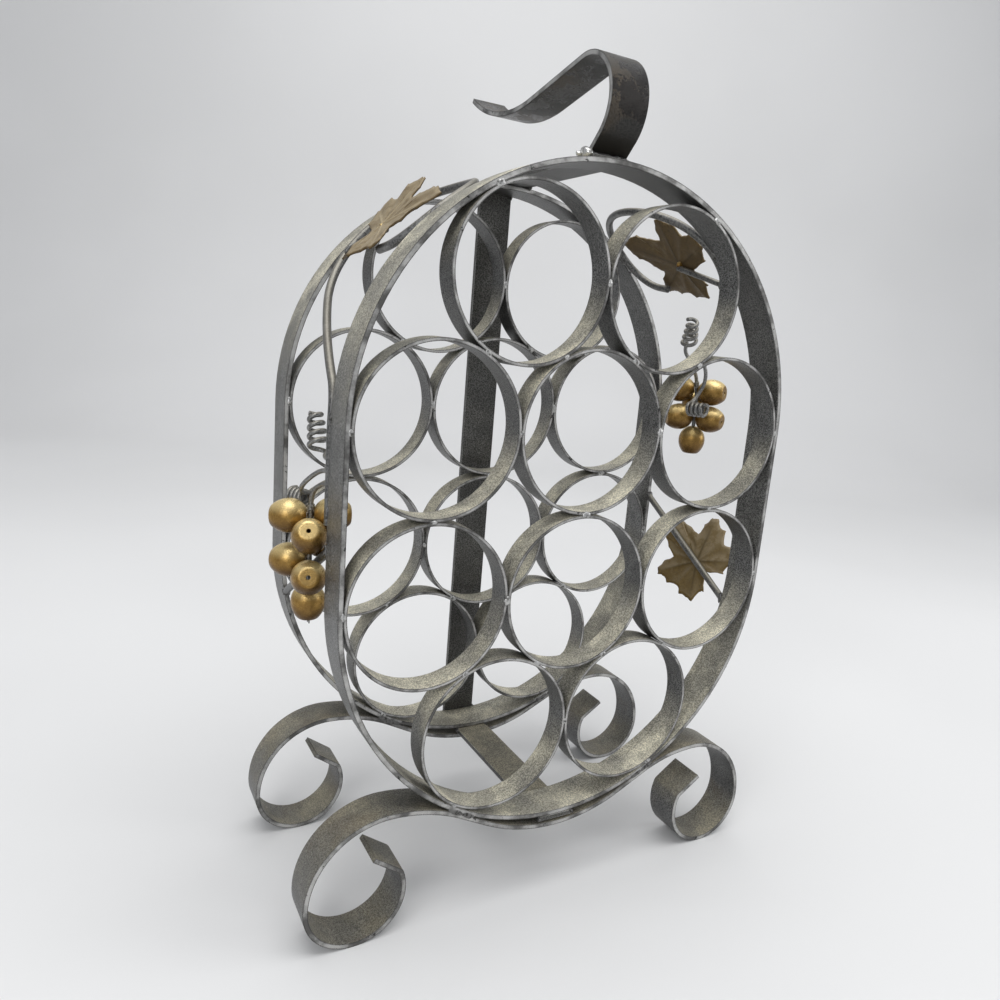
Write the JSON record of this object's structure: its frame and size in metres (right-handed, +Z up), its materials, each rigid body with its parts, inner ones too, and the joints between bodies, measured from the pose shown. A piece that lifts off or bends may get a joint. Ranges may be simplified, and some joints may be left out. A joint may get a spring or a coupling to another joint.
{
  "type": "wine rack",
  "caption": "Free-standing oval wine rack of welded steel strip: bottle rings packed in a front and a rear hoop, scrolled feet, a carrying handle and grapevine ornament at the sides.",
  "frame": {"origin": "on the floor, under the middle between the front and the rear frame", "axes": "+X across the rack to the right as seen from the front, +Y from the front to the back, +Z up"},
  "size_m": [0.3521, 0.1738, 0.5239],
  "materials": {
    "strip": "dark pewter grey with a fine speckle, worn bright along the edges",
    "rod": "dark grey, satin",
    "leaf": "tan and olive brown patina, matt",
    "grape": "antique gold paint, satin",
    "wire": "bare dark steel wire"
  },
  "bodies": {
    "root": {"bottom_cross_bar": "strip", "front_foot_strip": "strip", "front_hoop": "strip", "front_ring_01": "strip", "front_ring_02": "strip", "front_ring_03": "strip", "front_ring_04": "strip", "front_ring_05": "strip", "front_ring_06": "strip", "front_ring_07": "strip", "front_ring_08": "strip", "front_ring_09": "strip", "front_ring_10": "strip", "handle": "strip", "left_bunch_wire": "wire", "left_grape_1": "grape", "left_grape_2": "grape", "left_grape_3": "grape", "left_grape_4": "grape", "left_grape_5": "grape", "left_grape_6": "grape", "left_grape_7": "grape", "left_leaf": "leaf", "left_leaf_stalk": "rod", "left_lower_rod": "rod", "left_lying_tendril": "wire", "left_upright_tendril": "wire", "left_vine_stem": "rod", "rear_foot_strip": "strip", "rear_hoop": "strip", "rear_ring_01": "strip", "rear_ring_02": "strip", "rear_ring_03": "strip", "rear_ring_04": "strip", "rear_ring_05": "strip", "rear_ring_06": "strip", "rear_ring_07": "strip", "rear_ring_08": "strip", "rear_ring_09": "strip", "rear_ring_10": "strip", "rear_spine": "strip", "right_bunch_wire": "wire", "right_grape_1": "grape", "right_grape_2": "grape", "right_grape_3": "grape", "right_grape_4": "grape", "right_grape_5": "grape", "right_grape_6": "grape", "right_leaf": "leaf", "right_leaf_stalk": "rod", "right_lower_leaf": "leaf", "right_lower_rod": "rod", "right_lying_tendril": "wire", "right_upright_tendril": "wire", "right_vine_stem": "rod", "top_cross_bar": "strip"}
  },
  "joints": []
}
